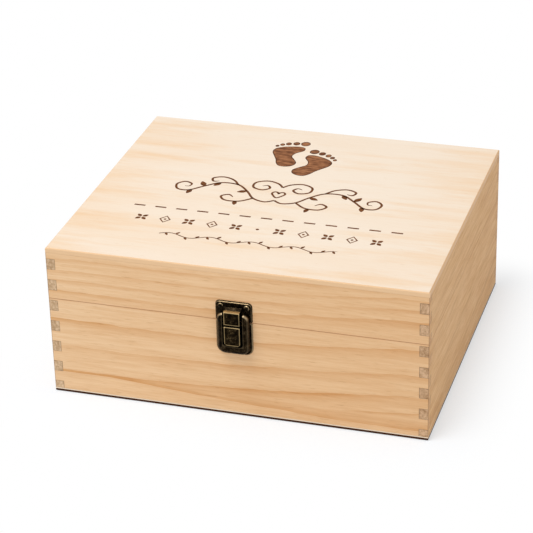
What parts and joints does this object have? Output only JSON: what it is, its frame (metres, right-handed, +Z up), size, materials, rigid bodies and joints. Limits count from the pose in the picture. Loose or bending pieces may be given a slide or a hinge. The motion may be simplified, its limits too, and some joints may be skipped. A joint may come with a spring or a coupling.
{
  "type": "keepsake box",
  "caption": "Finger-jointed pine keepsake box with a hinged lid and a sprung antique-bronze latch.",
  "frame": {"origin": "middle of the underside of the bottom panel", "axes": "+X to the box's right, the front with the latch faces -Y, +Z up"},
  "size_m": [0.29, 0.2636, 0.122],
  "materials": {
    "pine_top": "bare sanded pine",
    "pine_board": "bare sanded pine",
    "pine_side": "bare sanded pine",
    "plywood": "bare plywood",
    "antique_bronze": "antique bronze plate, dark with worn edges",
    "worn_bronze": "antique bronze plate, worn",
    "spring_steel": "plain wire"
  },
  "bodies": {
    "base": {"bottom_panel": "plywood", "base_front_board": "pine_board", "base_back_board": "pine_board", "base_left_board": "pine_side", "base_right_board": "pine_side", "latch_plate": "antique_bronze", "latch_plate_screws": "worn_bronze", "latch_pin": "worn_bronze", "latch_spring": "spring_steel", "left_hinge_base_leaf": "antique_bronze", "right_hinge_base_leaf": "antique_bronze", "left_hinge_pin": "worn_bronze", "right_hinge_pin": "worn_bronze", "hinge_base_screws": "worn_bronze"},
    "lid": {"top_panel": "pine_top", "lid_front_board": "pine_board", "lid_back_board": "pine_board", "lid_left_board": "pine_side", "lid_right_board": "pine_side", "catch_plate": "antique_bronze", "catch_screws": "worn_bronze", "left_hinge_lid_leaf": "antique_bronze", "right_hinge_lid_leaf": "antique_bronze", "hinge_lid_screws": "worn_bronze"},
    "tongue": {"latch_tongue": "antique_bronze"}
  },
  "joints": [
    {"name": "lid_hinge", "type": "hinge", "parent": "base", "child": "lid", "pos_m": [0, 0.1273, 0.08], "axis": [-1, 0, 0], "range_deg": [0, 100]},
    {"name": "tongue_pivot", "type": "hinge", "parent": "base", "child": "tongue", "pos_m": [0, -0.1284, 0.07885], "axis": [1, 0, 0], "range_deg": [0, 12], "stiffness_Nm_per_rad": 0.03, "springref_deg": -28.65}
  ]
}
